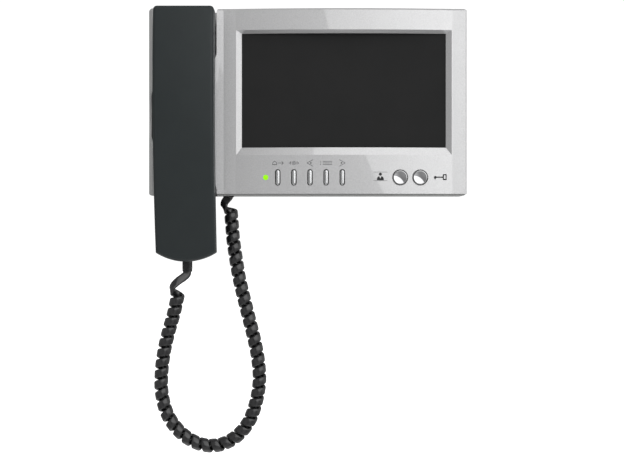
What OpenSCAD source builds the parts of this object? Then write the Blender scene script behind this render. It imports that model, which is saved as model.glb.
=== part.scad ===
// Wall-mounted video intercom monitor with a corded handset.
// Millimetres. +X is to the viewer's right, +Y points into the wall, +Z is up.
// The origin is on the wall, at the centre of the bracket's four screw holes.

/* [Housing] */
// Width of the monitor
body_w = 241; // [240:0.5:244]
// Height of the monitor
body_h = 141.2; // [140:0.2:143]
// Distance from the wall to the fascia's flat edge strips
face_y = 34.6; // [34:0.2:36]
// How far the fascia bows out past its edge strips
face_bow = 3.9; // [2:0.1:5]
// Wall thickness of the mouldings
wall = 2.2; // [1.8:0.1:2.4]
// Corner radius of the rear outline
corner_r = 3.2; // [3:0.1:6]

/* [Screen] */
// Width of the visible screen
screen_w = 154; // [150:0.5:155]
// Height of the visible screen
screen_h = 86; // [84:0.5:87]
// Depth of the sloped surround of the screen
bezel_d = 3; // [2:0.1:3.2]

/* [Keys] */
// Spacing of the five slim keys
key_pitch = 12.1; // [11:0.1:12.6]
// Length of a slim key
key_l = 11.2; // [10:0.2:12]
// Width of a slim key
key_w = 3; // [2.8:0.1:3.4]
// Travel of every key
key_travel = 1; // [0.6:0.1:1.2]
// Radius of a round key
round_key_r = 5.2; // [4.8:0.1:5.4]

/* [Handset] */
// Length of the handset
handset_l = 189.6; // [188:0.2:191]
// Width of the handset
handset_w = 45; // [42:0.5:45]
// Distance from the wall to the highest point of the handset
handset_y = 60; // [59:0.5:62]
// Radius of the handset's long front curve
handset_r = 400; // [380:10:440]
// Thickness of the grip
grip_t = 19; // [17:0.5:20]

/* [Bracket] */
// Spacing of the wall screws across
screw_x = 100; // [90:1:104]
// Spacing of the wall screws up and down
screw_z = 60; // [54:1:62]
// Radius of a wall screw hole
screw_r = 2.25; // [2:0.05:2.6]

/* [Cord] */
// Outer diameter of the curly cord
coil_d = 10.6; // [9:0.2:11]
// Width of the flat cord itself
flat_w = 6; // [5:0.2:6]

/* [Hidden] */
$fn = 48;
e = 0.1; // a small overrun that makes cuts pass right through

// Half sizes of the outline, front and back of the three mouldings
hw = body_w / 2;
hh = body_h / 2;
inset = [0.6, 0.5, 1.3]; // how far the fascia stands in: at its right, top and bottom
rear_y = 10; // parting line between the rear and front housings
mid_y = 26; // parting line between the front housing and the fascia
recess_y = 3; // depth of the rear recess that the bracket lies in

// The fascia, right of the handset cradle
face_x0 = -68.5; // left edge
ear_x = -71.6; // left edge of the grip ramp beside the handset
strip_x = -54.1; // where the left flat strip ends
face_x1 = hw - inset[0]; // right edge
bow_x = [strip_x, 109]; // the bowed part of the front
bow_mid = (bow_x[0] + bow_x[1]) / 2;
bow_half = (bow_x[1] - bow_x[0]) / 2;
bow_r = (pow(bow_half, 2) + pow(face_bow, 2)) / (2 * face_bow);

// The screen, and the sloped surround's width on each side of it
screen_mid = [27.3, 8.6];
sx = [screen_mid[0] - screen_w / 2, screen_mid[0] + screen_w / 2];
sz = [screen_mid[1] - screen_h / 2, screen_mid[1] + screen_h / 2];
slope_side = 4.2;
slope_top = 2.4;
slope_bottom = 5.7;
window_y = 31; // front of the display window
window_t = 1.5;
lcd_t = 5.6;

// Keys, lamp and their board
key_z = -57;
slim_x = [for (i = [0:4]) -22.4 + i * key_pitch];
round_x = [69.5, 84.6];
lamp_x = -31.5;
key_gap = 0.6; // all round a slim key
ring_t = 0.6;
board_y = 27; // front of the key board
tact_h = 3.6;

// The handset and its cradle
hx = -91.6; // centre line of the handset
handset_top = 69.2;
handset_bottom = handset_top - handset_l;
curve_z = 13.3; // height at which the handset stands furthest out
curve_y = handset_r - handset_y; // centre of the handset's long curve
split_t = 9; // depth of the handset's front shell
cup_hw = 20.5; // half width of both cups
cup_y = 14.5; // rear face of the cups
lift = 15; // angle at which the handset lifts out of the cradle
well_x = [-114.8, -68.8]; // the two wells, side to side
well_y = 13; // floor of the wells
bridge_y = 25; // front of the bridge between the wells
ledge_z = 33; // the bridge's upper edge at the well floor
bridge_z = -53; // the bridge's lower edge
shell_t = 2;

// The hook switch's plunger
hook = [hx, 60];
hook_r = 2.3;

// The cord: middle of the coil, from the housing round to the handset
cord_exit = [-60.5, -17, -hh];
coil_route = [
    [-59, -17, -80.5], [-58, -17, -92], [-57, -17, -104], [-55, -17, -118],
    [-52.5, -17, -133], [-49, -17, -148], [-45, -17, -164], [-41, -17, -180],
    [-38, -17, -196], [-37, -17, -212], [-39.5, -17, -228], [-45, -17, -243],
    [-54, -17, -254], [-66, -17.5, -260.5], [-79, -18, -261], [-91, -18.5, -256],
    [-101, -19, -247], [-108, -20, -235], [-111.5, -20, -220], [-111.5, -20.5, -205],
    [-109.5, -21, -189], [-106, -21.5, -174], [-102, -22, -160], [-98.5, -22.8, -144.5]
];
base_tail = [
    [-60.5, -17, -hh - 0.8], [-61.7, -17.3, -73.3], [-64.2, -18.5, -75.2],
    [-65.2, -19, -77.8], [-63.1, -17, -81.5]
];
handset_tail = [
    [-102.2, -22.8, -145.5], [-103.2, -24.5, -141.5], [-102, -25, -138.8],
    [-98.5, -24.5, -135.5], [-94, -23.5, -132.5], [-91.9, -23, -130.5], [-91.6, -23, -128.5]
];

// ---- Shared shapes ----

// A box between two limits on each axis. Depths are given from the wall outwards.
module block(x, depth, z)
    translate([x[0], -depth[1], z[0]])
        cube([x[1] - x[0], depth[1] - depth[0], z[1] - z[0]]);

// A flat outline in X and Z, drawn out between two depths from the wall
module along_y(depth)
    translate([0, -depth[0], 0])
        rotate([90, 0, 0]) linear_extrude(depth[1] - depth[0]) children();

// A side outline in Y and Z, drawn out between two places across
module along_x(x)
    translate([x[0], 0, 0])
        rotate([90, 0, 90]) linear_extrude(x[1] - x[0]) children();

// A round bar or hole that runs straight into the wall
module rod(p, depth, r)
    translate([p[0], -depth[0], p[1]])
        rotate([90, 0, 0]) cylinder(h = depth[1] - depth[0], r = r);

module round_rect(x, z, r) {
    translate([x[0] + r, z[0]]) square([x[1] - x[0] - 2 * r, z[1] - z[0]]);
    translate([x[0], z[0] + r]) square([x[1] - x[0], z[1] - z[0] - 2 * r]);
    for (px = [x[0] + r, x[1] - r], pz = [z[0] + r, z[1] - r])
        translate([px, pz]) circle(r);
}

module round_block(x, depth, z, r)
    along_y(depth) round_rect(x, z, r);

// A slot with round ends that stands upright
module upright_slot(w, l) {
    square([w, l - w], center = true);
    for (s = [-1, 1]) translate([0, s * (l - w) / 2]) circle(w / 2);
}

// The housing's outline, drawn in by t
module outline_block(depth, t)
    round_block([-hw + t, hw - t], depth, [-hh + t, hh - t], corner_r - t);

// Depth of the fascia's surface at a place across
function face_at(x) =
    face_y + face_bow - (bow_r - sqrt(pow(bow_r, 2) - pow(x - bow_mid, 2)));

// ---- Bracket and housings ----

hook_x = [-64, 64];
hook_z = [-24, 24];
tab_y = recess_y + wall + 2; // how far the bracket's hooks reach
lock_z = -hh + 6.4; // bracket tab that the locking screw holds

module wall_bracket()
    color("gainsboro") difference() {
        union() {
            round_block([-75, 75], [0, 1.5], [-42, 42], 4);
            round_block([-9, 9], [0, 1.5], [lock_z, -36], 1);
            block([-9, 9], [0, 9], [lock_z, lock_z + 1.5]);
            for (x = hook_x, z = hook_z) {
                block([x - 5, x + 5], [0, tab_y], [z - 1.5, z]);
                block([x - 5, x + 5], [tab_y - 1.5, tab_y], [z - 1.5, z + 6]);
            }
        }
        for (x = [-1, 1], z = [-1, 1])
            rod([x * screw_x / 2, z * screw_z / 2], [-e, 1.5 + e], screw_r);
        round_block([-27, 27], [-e, 1.5 + e], [-19, 22], 3);
        translate([0, -5.5, lock_z - e]) cylinder(h = 2, r = 1.6);
    }

module lock_screw()
    color("silver") translate([0, -5.5, -hh]) {
        difference() {
            translate([0, 0, 0.5]) cylinder(h = 2, r = 2.8);
            translate([-0.4, -3, 0.4]) cube([0.8, 6, 1]);
            translate([-3, -0.4, 0.4]) cube([6, 0.8, 1]);
        }
        translate([0, 0, 2.4]) cylinder(h = 5.3, r = 1.5);
    }

speaker = [94, -8];
speaker_r = 18;
screw_places = [[-60, 64.6], [-60, -64.6], [112, 64.6], [112, -64.6], [hx, -10]];

module rear_housing()
    color("gray") difference() {
        union() {
            difference() {
                outline_block([0, rear_y], 0);
                outline_block([-e, recess_y], 2.4);
                outline_block([recess_y + wall, rear_y + e], wall);
            }
            for (p = screw_places) rod(p, [recess_y, rear_y], 4);
            for (p = main_holes) rod(p, [recess_y, board_front - board_t], 3.4);
            block([-7, 7], [0.5, rear_y], [-hh + 1, lock_z - 0.1]);
        }
        for (p = main_holes) rod(p, [7, board_front], 1.5);
        for (p = screw_places) {
            rod(p, [-e, rear_y + e], 1.6);
            rod(p, [-e, recess_y + 2.4], 3.1);
        }
        for (x = hook_x, z = hook_z)
            block([x - 6, x + 6], [-e, recess_y + wall + e], [z - 8.2, z + 0.02]);
        round_block([-30, 30], [-e, recess_y + wall + e], [-17, 24], 3);
        for (i = [-4:4])
            block([speaker[0] + i * 3.4 - 0.8, speaker[0] + i * 3.4 + 0.8],
                [-e, recess_y + wall + e],
                [speaker[1] - 13 * cos(i * 17), speaker[1] + 13 * cos(i * 17)]);
        block([-9.5, 9.5], [-e, rear_y + e], [lock_z - 0.1, lock_z + 2]);
        translate([0, -5.5, -hh - e]) cylinder(h = 3, r = 3.2);
        translate([0, -5.5, -hh - e]) cylinder(h = 8, r = 1.7);
    }

cradle_x = -66.4; // where the cradle ends and the fascia's box begins

// Outline of the bridge between the wells, seen from above
bridge_outline = [
    [-hw, -rear_y], [-hw, -22], [-hw + 0.5, -29], [-117.4, -33], [-115.8, -33],
    [-110, -bridge_y],
    [-79, -bridge_y], [ear_x - 0.1, -29.6], [ear_x - 0.1, -mid_y + 0.02],
    [cradle_x, -mid_y + 0.02], [cradle_x, -rear_y]
];

// The same outline drawn in by the sheet's thickness, open at the back
bridge_hollow = [
    [-118.3, -rear_y + e], [-118.3, -28.4], [-116.8, -30.4], [-116, -30.4],
    [-110.8, -bridge_y + 2], [-79, -bridge_y + 2], [-73.6, -26.4],
    [-73.6, -mid_y + 2], [-68.6, -mid_y + 2], [-68.6, -rear_y + e]
];

module front_housing()
    color("silver") difference() {
        union() {
            difference() {
                outline_block([rear_y, mid_y], 0);
                outline_block([rear_y - e, mid_y + e], wall);
                block([-hw - e, -68], [rear_y - e, mid_y + e], [-hh - e, hh + e]);
            }
            cradle();
            for (p = screw_places)
                if (p[0] > cradle_x) rod(p, [rear_y, mid_y - 4], 4);
            rod(screw_places[4], [rear_y, bridge_y - 1], 4);
        }
        for (p = screw_places) rod(p, [rear_y - e, mid_y - 6], 1.25);
        translate([cord_exit[0], cord_exit[1], -hh - e])
            linear_extrude(wall + 2 * e) square([8.4, 5], center = true);
    }

// The left part of the front housing, which the handset hangs in
module cradle()
    difference() {
        intersection() {
            outline_block([rear_y, 33], 0);
            translate([0, 0, -hh]) linear_extrude(body_h) polygon(bridge_outline);
        }
        // wells, open at the top and at the bottom
        along_x(well_x) polygon([
            [-well_y, ledge_z], [-40, ledge_z + 27 * tan(lift)], [-40, hh + e],
            [-well_y, hh + e]
        ]);
        along_x(well_x) polygon([
            [-well_y, bridge_z], [-40, bridge_z + 27 * tan(lift)], [-40, -hh - e],
            [-well_y, -hh - e]
        ]);
        // the grip ramp stops short of the bridge's ends
        block([-79, well_x[1]], [well_y, 40], [27, hh]);
        // finger recess in the left wall
        translate([-hw - 1, -86.5, -10]) rotate([0, 90, 0])
            cylinder(h = 11, r = 60, $fn = 96);
        // hollow behind the bridge and behind the well floors
        translate([0, 0, bridge_z + 8]) linear_extrude(ledge_z - bridge_z - 12)
            polygon(bridge_hollow);
        block([-118.3, -68.8], [rear_y - e, well_y - 2], [-hh + wall, hh - wall]);
        for (z = [[-hh + wall, bridge_z], [ledge_z + 8, hh - wall]])
            block([-118.3, -116.8], [rear_y - e, 27.5], z);
        rod(hook, [rear_y, well_y + e], hook_r + 0.2);
    }

// The sloped surround of the screen follows the bow, so it is cut as a swept solid.
// One ring of that solid: t runs from left to right, and out is how far in front
// of the surface the ring's near corners are.
cut_steps = 16;
function cut_corner(t, out, top) =
    let (
        grow = 1 + out / bezel_d,
        x_in = sx[0] + t * screen_w,
        depth = face_at(x_in + (2 * t - 1) * slope_side)
    ) [
        x_in + (2 * t - 1) * slope_side * grow, -depth - out,
        top ? sz[1] + slope_top * grow : sz[0] - slope_bottom * grow
    ];
function cut_ring(t) = [
    cut_corner(t, 1, false), cut_corner(t, 1, true),
    cut_corner(t, -bezel_d - 0.4, true), cut_corner(t, -bezel_d - 0.4, false)
];

module surround_cut() {
    points = [for (i = [0:cut_steps]) each cut_ring(i / cut_steps)];
    sides = [for (i = [0:cut_steps - 1], j = [0:3])
        [i * 4 + j, i * 4 + (j + 1) % 4, i * 4 + 4 + (j + 1) % 4, i * 4 + 4 + j]];
    polyhedron(points, concat([[3, 2, 1, 0]], sides,
        [[for (j = [0:3]) cut_steps * 4 + j]]));
}

// A solid under the bowed front, t below its surface
module bowed(x, t, back, z)
    intersection() {
        block(x, [back, 45], z);
        translate([bow_mid, bow_r - face_y - face_bow, z[0] - 1])
            cylinder(h = z[1] - z[0] + 2, r = bow_r - t, $fn = 200);
    }

face_z = [-hh + inset[2], hh - inset[1]];

// The fascia from above: chamfer, flat strip, bow in short chords, flat strip
face_outline = concat(
    [[face_x0, -mid_y], [face_x0, -31.8], [-63.3, -face_y + 0.3]],
    [for (i = [0:48]) let (x = bow_x[0] + i / 48 * (bow_x[1] - bow_x[0])) [x, -face_at(x)]],
    [[face_x1 - 1, -face_y + 0.2], [face_x1, -face_y + 1], [face_x1, -mid_y]]
);

module fascia()
    color("silver") difference() {
        union() {
            difference() {
                union() {
                    translate([0, 0, face_z[0]]) linear_extrude(face_z[1] - face_z[0])
                        polygon(face_outline);
                    ear();
                }
                block([face_x0 + wall, face_x1 - wall], [mid_y - e, face_y - wall - 0.6],
                    [face_z[0] + wall, face_z[1] - wall]);
                bowed([bow_x[0] + wall, bow_x[1] - wall], wall, mid_y - e,
                    [face_z[0] + wall, face_z[1] - wall]);
            }
            bowed([sx[0] - 8, sx[1] + 8], 0.5, window_y, [sz[0] - 8, sz[1] + 8]);
            for (p = lcd_holes) rod(p, [lcd_back + 0.4, face_y - wall], 2.4);
            for (p = key_holes) rod(p, [board_y, face_at(p[0]) - wall + 0.2], 2.4);
        }
        for (p = lcd_holes) rod(p, [lcd_back, lcd_back + 6], 1.15);
        for (p = key_holes) rod(p, [board_y - 1, board_y + 5], 1.15);
        surround_cut();
        block(sx, [0, 50], sz);
        for (x = slim_x)
            translate([x, 0, key_z]) along_y([20, 50])
                upright_slot(key_w + 2 * key_gap, key_l + 2 * key_gap);
        for (x = round_x) rod([x, key_z], [20, 50], round_key_r + 0.2 + ring_t);
        rod([lamp_x, key_z], [20, 50], 2);
    }

// The ramp beside the middle of the handset, where a finger reaches behind it
module ear()
    intersection() {
        along_y([mid_y, 45]) polygon([[-67, 38], [face_x0, 36], [ear_x, 27.5],
            [ear_x, -50], [-70.8, -55], [face_x0, -66], [-67, -68]]);
        translate([0, 0, -hh]) linear_extrude(body_h) polygon([[-75, -mid_y],
            [ear_x, -29.4], [face_x0, -31.8], [-66.4, -31.7], [-66.4, -mid_y]]);
    }

// ---- Display ----

module display_window()
    color([0.05, 0.05, 0.055]) block([sx[0] - 3.5, sx[1] + 3.5],
        [window_y - window_t, window_y], [sz[0] - 3.5, sz[1] + 3.5]);

module frame_block(x, z, depth, border)
    difference() {
        block(x, depth, z);
        block([x[0] + border, x[1] - border], [depth[0] - e, depth[1] + e],
            [z[0] + border, z[1] - border]);
    }

lcd_x = [screen_mid[0] - 82.5, screen_mid[0] + 82.5];
lcd_z = [screen_mid[1] - 50.5, screen_mid[1] + 49.5];
gasket_y = window_y - window_t - 0.8;
lcd_back = gasket_y - lcd_t;
ear_holes = [lcd_x[0] - 3.2, lcd_x[1] + 3.2];
lcd_holes = [for (x = ear_holes, z = [-30, 40]) [x, z]];
key_holes = [for (x = [-36, 41, 94]) [x, -50]];

module window_gasket()
    color("black") frame_block([sx[0] - 3, sx[1] + 3], [sz[0] - 3, sz[1] + 3],
        [gasket_y, window_y - window_t], 3);

module lcd_panel()
    color([0.08, 0.08, 0.09]) block([lcd_x[0] + 0.4, lcd_x[1] - 0.4],
        [lcd_back + 0.4, gasket_y], [lcd_z[0] + 0.4, lcd_z[1] - 0.4]);

// The pressed steel tray that the panel lies in, with its four fixing ears
module lcd_frame()
    color("lightgray") difference() {
        union() {
            difference() {
                block(lcd_x, [lcd_back - 0.4, gasket_y - 1], lcd_z);
                block([lcd_x[0] + 0.4, lcd_x[1] - 0.4], [lcd_back + 0.4, gasket_y],
                    [lcd_z[0] + 0.4, lcd_z[1] - 0.4]);
            }
            for (x = ear_holes, z = [-30, 40])
                round_block([x - 4, x + 4], [lcd_back - 0.4, lcd_back + 0.4], [z - 4, z + 4], 1.5);
        }
        for (p = lcd_holes) rod(p, [lcd_back - 1, lcd_back + 1], 1.4);
        block([8, 34], [lcd_back - 1, lcd_back + 0.5], [20, 34]);
    }

board_front = 16;
board_t = 1.6;

// The flat film cable loops from the panel's back down to the main board
module display_ribbon()
    color("peru") along_x([10, 32]) polygon([
        [-lcd_back - 0.4, 31], [-lcd_back - 0.4, 23.8], [-20.9, 18], [-18.9, 12],
        [-18.7, 8.2], [-18.7, 4], [-18.4, 4], [-18.4, 8.3], [-18.6, 12.1],
        [-20.6, 18.2], [-lcd_back - 0.1, 24.1], [-lcd_back - 0.1, 31]
    ]);

// ---- Boards and what is on them ----

main_x = [-50, 104];
main_z = [-38, 58];
main_holes = [[-45, -33], [-45, 53], [99, -33], [99, 53]];

module main_board()
    color("darkgreen") difference() {
        round_block(main_x, [board_front - board_t, board_front], main_z, 2);
        for (p = main_holes) rod(p, [0, 30], 1.7);
    }

// Short screws that hold the display tray and the key board to the fascia
module fascia_screws()
    color("silver") {
        for (p = lcd_holes) {
            rod(p, [lcd_back - 2, lcd_back - 0.4], 2.3);
            rod(p, [lcd_back - 0.5, lcd_back + 5], 1.1);
        }
        for (p = key_holes) {
            rod(p, [board_y - 3.2, board_y - 1.6], 2.3);
            rod(p, [board_y - 1.7, board_y + 3.8], 1.1);
        }
    }

module board_screws()
    color("silver") for (p = main_holes) {
        rod(p, [board_front, board_front + 1.8], 2.8);
        rod(p, [8, board_front + 0.1], 1.45);
    }

// Chips, capacitors, sockets and the power coil, as separate solids
module board_parts() {
    color("dimgray") {
        block([-8, 8], [board_front, board_front + 1.4], [22, 38]);
        block([48, 62], [board_front, board_front + 1.2], [-20, -6]);
        block([66, 76], [board_front, board_front + 1.2], [6, 22]);
        block([-36, -26], [board_front, board_front + 4.5], [-10, 0]);
    }
    color("black") for (p = [[-36, 20], [-36, 32], [88, 40], [88, -24]])
        rod(p, [board_front, board_front + 6], 3.2);
    color("white") {
        block([9, 33], [board_front, board_front + 2.4], [1, 8]);
        block([-48, -42], [board_front - board_t - 6, board_front - board_t], [8, 24]);
        block([30, 46], [board_front - board_t - 6, board_front - board_t], [-36, -30]);
    }
    color("silver") block([-8, 8], [board_front - board_t - 4, board_front - board_t],
        [-34, -24]);
}

terminal_x = [for (i = [0:7]) -21 + i * 6];
terminal_back = 6;

module terminal_block()
    color("seagreen") difference() {
        block([-25, 25], [terminal_back, board_front - board_t], [4, 15]);
        for (x = terminal_x) {
            rod([x, 11.5], [terminal_back - e, terminal_back + 4], 2.1);
            block([x - 1.6, x + 1.6], [terminal_back + 1, terminal_back + 5], [4 - e, 9]);
        }
    }

module terminal_screws()
    color("silver") for (x = terminal_x) difference() {
        rod([x, 11.5], [terminal_back + 0.6, terminal_back + 4], 1.9);
        block([x - 2, x + 2], [terminal_back + 0.5, terminal_back + 1.2], [11.2, 11.8]);
    }

module key_board()
    color("darkgreen") difference() {
        block([-40, 96], [board_y - 1.6, board_y], [-66, -46]);
        for (p = key_holes) rod(p, [board_y - 2, board_y + 1], 1.4);
    }

module tact_switches()
    color([0.2, 0.2, 0.2]) for (x = concat(slim_x, round_x))
        block([x - 3, x + 3], [board_y, board_y + tact_h], [key_z - 3, key_z + 3]);

module status_led()
    color("yellowgreen") {
        rod([lamp_x, key_z], [board_y, board_y + 1], 1.9);
        rod([lamp_x, key_z], [board_y + 1, board_y + 4], 1.5);
    }

module led_lens()
    color("lime") union() {
        rod([lamp_x, key_z], [board_y + 4.4, face_at(lamp_x) + 0.1], 1.95);
        rod([lamp_x, key_z], [board_y + 4.4, board_y + 5.4], 2.9);
    }

module loudspeaker()
    color("dimgray") {
        rod(speaker, [recess_y + wall + 0.2, recess_y + wall + 2.2], speaker_r);
        rod(speaker, [recess_y + wall + 2.2, recess_y + wall + 5], 15);
        rod(speaker, [recess_y + wall + 5, recess_y + wall + 8], 9);
    }

// ---- Keys ----

// All keys stand proud of the bowed face and have a collar behind it.
collar_gap = 0.3;
stem_end = board_y + tact_h + key_travel + 0.3;

module slim_key(i)
    color("silver") translate([slim_x[i], 0, key_z]) union() {
        top = face_at(slim_x[i]);
        under = top - wall - collar_gap - 0.6;
        intersection() {
            along_y([under - 1, top + 0.7]) upright_slot(key_w, key_l);
            translate([0, -top + 2.2, -10]) cylinder(h = 20, r = 2.9);
        }
        along_y([under - 1, top - 0.4]) upright_slot(key_w, key_l);
        along_y([under - 1, under])
            upright_slot(key_w + 2 * key_gap + 1, key_l + 2 * key_gap + 1);
        rod([0, 0], [stem_end, under - 0.5], 1.3);
    }

module round_key(x)
    color("whitesmoke") translate([x, 0, key_z]) union() {
        top = face_at(x);
        under = top - wall - collar_gap - 0.8;
        intersection() {
            rod([0, 0], [under - 1, top + 0.9], round_key_r);
            translate([0, 24 - top - 0.9, 0]) sphere(r = 24);
        }
        rod([0, 0], [under - 1, under], round_key_r + 0.9);
        rod([0, 0], [stem_end, under - 0.5], 1.6);
    }

module key_ring(x)
    color("silver") difference() {
        rod([x, key_z], [face_at(x) - wall - 0.2, face_at(x) + 0.6],
            round_key_r + 0.2 + ring_t);
        rod([x, key_z], [0, 60], round_key_r + 0.2);
    }

// ---- Cradle details ----

hook_tip = cup_y - 0.3; // plunger tip with the handset on the hook

module hook_plunger()
    color("white") union() {
        rod(hook, [well_y - 5.8, hook_tip - hook_r], hook_r);
        translate([hook[0], hook_r - hook_tip, hook[1]]) sphere(r = hook_r);
        rod(hook, [well_y - 6.2, well_y - 5.2], 3.6);
    }

// The switch stands beside the plunger, and its leaf lies behind the collar.
module hook_switch()
    color("black") {
        block([hx + 7, hx + 19], [6, 10.6], [56, 64]);
        block([hx - 3, hx + 7], [6, 6.4], [58, 62]);
    }

// Soft pads that the earpiece end rests against
module cradle_pads()
    color([0.15, 0.15, 0.15]) for (x = [-15, 15])
        round_block([hx + x - 3, hx + x + 3], [well_y, well_y + 1.2], [42, 52], 2.5);

module base_grommet()
    color([0.1, 0.1, 0.1]) translate([cord_exit[0], cord_exit[1], 0]) union() {
        translate([0, 0, -hh - 0.8]) linear_extrude(wall + 1.6) square([8, 4.6], center = true);
        translate([0, 0, -hh + wall]) linear_extrude(1.5) square([11, 7], center = true);
    }

module housing_screws()
    color("silver") for (p = screw_places) {
        rod(p, [recess_y, recess_y + 2.2], 2.9);
        rod(p, [recess_y + 2, mid_y - 8], 1.2);
    }

// ---- Handset ----

// A bar across the handset whose front follows the long curve, t below it
module curve_bar(t)
    translate([hx - 40, curve_y, curve_z])
        rotate([0, 90, 0]) cylinder(h = 80, r = handset_r - t, $fn = 240);

end_r = 40.5; // the handset's lower end is an arc
ear_mid = 50;
ear_r = 10.5; // radius of the earpiece
mic_z = -100.3;
shell_screw = [hx, -84];
module handset_outline(t) {
    w = handset_w / 2 - t;
    round_rect([hx - w, hx + w], [handset_bottom + 12, handset_top - t], 3 - t / 2);
    intersection() {
        translate([hx, handset_bottom + end_r]) circle(end_r - t, $fn = 96);
        translate([hx - w, handset_bottom - 1]) square([2 * w, 20]);
    }
}

module handset_cover()
    color([0.2, 0.21, 0.21]) difference() {
        union() {
            difference() {
                intersection() {
                    along_y([20, 65]) handset_outline(0);
                    curve_bar(0);
                }
                curve_bar(split_t);
                intersection() {
                    along_y([10, 65]) handset_outline(shell_t);
                    curve_bar(shell_t);
                }
            }
            rod(shell_screw, [31.1, 46.5], 3.4);
        }
        rod(shell_screw, [31, 43], 1.45);
    }

// The back, from the side: earpiece cup above, grip, microphone cup below
cup_slope = tan(lift);
ear_low = ledge_z + 0.5 + (cup_y - well_y) * cup_slope;
module back_profile() {
    polygon([
        [-52, handset_top], [-20, handset_top - 3], [-cup_y, 64], [-cup_y, ear_low],
        [-41, ear_low + (41 - cup_y) * cup_slope], [-52, ear_low + (41 - cup_y) * cup_slope]
    ]);
    polygon([
        [-44, -44], [-38, -50], [-cup_y - 1.5, -76], [-cup_y, -79], [-cup_y, -110],
        [-19, -116], [-26, -117], [-44, -117]
    ]);
}

module cups()
    intersection() {
        along_x([hx - 30, hx + 30]) back_profile();
        union() {
            round_block([hx - cup_hw, hx + cup_hw], [10, 60], [30, handset_top - 1], 5);
            round_block([hx - cup_hw, hx + cup_hw], [10, 60], [-118, -40], 5);
        }
        curve_bar(split_t + 0.5);
        along_y([10, 60]) handset_outline(1);
    }

module handset_back()
    color([0.2, 0.21, 0.21]) difference() {
        union() {
            handset_shell();
            rod(shell_screw, [cup_y, 31], 3.6);
        }
        // sound holes of the earpiece, in two rings round a middle one
        rod([hx, ear_mid], [cup_y - 1, 20], 1);
        for (ring = [[6, 4], [12, 8]], i = [1:ring[0]])
            rod([hx + ring[1] * cos(i * 360 / ring[0]), ear_mid + ring[1] * sin(i * 360 / ring[0])],
                [cup_y - 1, 20], 1);
        // microphone slot
        block([hx - 4, hx + 4], [cup_y - 1, 20], [mic_z - 0.7, mic_z + 0.7]);
        rod(shell_screw, [cup_y - 1, 40], 1.6);
        rod(shell_screw, [cup_y - 1, cup_y + 3], 2.9);
        translate([hx, -23, -130]) linear_extrude(16) square([6.2, 4.8], center = true);
    }

module handset_shell()
    difference() {
        union() {
            intersection() {
                along_y([10, 60]) handset_outline(0);
                curve_bar(split_t);
                difference() {
                    block([hx - 30, hx + 30], [0, 70], [-130, 80]);
                    curve_bar(grip_t);
                }
            }
            cups();
        }
        // hollow grip, open towards the cover
        intersection() {
            along_y([10, 60]) handset_outline(shell_t);
            difference() {
                curve_bar(split_t - 1);
                curve_bar(grip_t - shell_t);
            }
        }
        intersection() {
            cup_hollow();
            curve_bar(split_t - 1);
        }
    }

module cup_hollow()
    intersection() {
        along_x([hx - 30, hx + 30]) {
            polygon([
                [-60, handset_top - 4], [-21, handset_top - 6], [-cup_y - shell_t, 61],
                [-cup_y - shell_t, ear_low + 2.6], [-60, ear_low + 43.5 * cup_slope + 2.6]
            ]);
            polygon([
                [-60, -56], [-40, -56], [-cup_y - shell_t, -80], [-cup_y - shell_t, -108],
                [-21, -113.6], [-60, -113.6]
            ]);
        }
        union() {
            round_block([hx - cup_hw + 2, hx + cup_hw - 2], [0, 60], [28, 68.5], 3);
            round_block([hx - cup_hw + 2, hx + cup_hw - 2], [0, 60], [-116, -50], 3);
        }
    }

module earpiece()
    color("dimgray") {
        rod([hx, ear_mid], [cup_y + 3.2, cup_y + 8], ear_r);
        rod([hx, ear_mid], [cup_y + 8, cup_y + 11], 7.5);
    }

module earpiece_felt()
    color("black") rod([hx, ear_mid], [cup_y + 2.1, cup_y + 3.1], ear_r);

module microphone()
    color("silver") rod([hx, mic_z], [cup_y + 4.2, cup_y + 8.4], 3);

module microphone_boot()
    color("black") difference() {
        rod([hx, mic_z], [cup_y + 2.1, cup_y + 8], 4.6);
        rod([hx, mic_z], [cup_y + 4.1, cup_y + 9], 3.05);
        block([hx - 2.5, hx + 2.5], [cup_y + 1, cup_y + 5], [mic_z - 0.7, mic_z + 0.7]);
    }

module handset_weight()
    color("gray") round_block([hx - 12, hx + 12], [handset_y - grip_t + shell_t, handset_y - 8],
        [-12, 30], 2);

module handset_screw()
    color("silver") {
        rod(shell_screw, [cup_y + 0.8, cup_y + 3], 2.7);
        rod(shell_screw, [cup_y + 2.9, 40], 1.4);
    }

// Ribbed sleeve that the cord leaves the handset through
module handset_grommet()
    color([0.1, 0.1, 0.1]) translate([hx, -23, -128.2]) union() {
        linear_extrude(15) square([6, 4.6], center = true);
        for (i = [0:3])
            translate([0, 0, i * 2.1]) linear_extrude(1.3) square([7.6, 6], center = true);
        translate([0, 0, 14.8]) linear_extrude(1.4) square([9, 6.4], center = true);
    }

// ---- Cord ----

// Unit vector along a route at point i
function along(p, i) =
    let (d = p[min(i + 1, len(p) - 1)] - p[max(i - 1, 0)]) d / norm(d);

// A round tube with one ring of sides at each point of a route
module tube(p, r, sides) {
    points = [for (i = [0:len(p) - 1])
        let (
            t = along(p, i),
            b = cross(t, [0, 1, 0]) / norm(cross(t, [0, 1, 0])),
            n = cross(b, t)
        )
        for (j = [0:sides - 1])
            p[i] + r * (cos(j * 360 / sides) * b + sin(j * 360 / sides) * n)];
    last = (len(p) - 1) * sides;
    skin = [for (i = [0:len(p) - 2], j = [0:sides - 1])
        [i * sides + j, i * sides + (j + 1) % sides,
            (i + 1) * sides + (j + 1) % sides, (i + 1) * sides + j]];
    polyhedron(points, concat([[for (j = [sides - 1:-1:0]) j]], skin,
        [[for (j = [0:sides - 1]) last + j]]));
}

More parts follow.
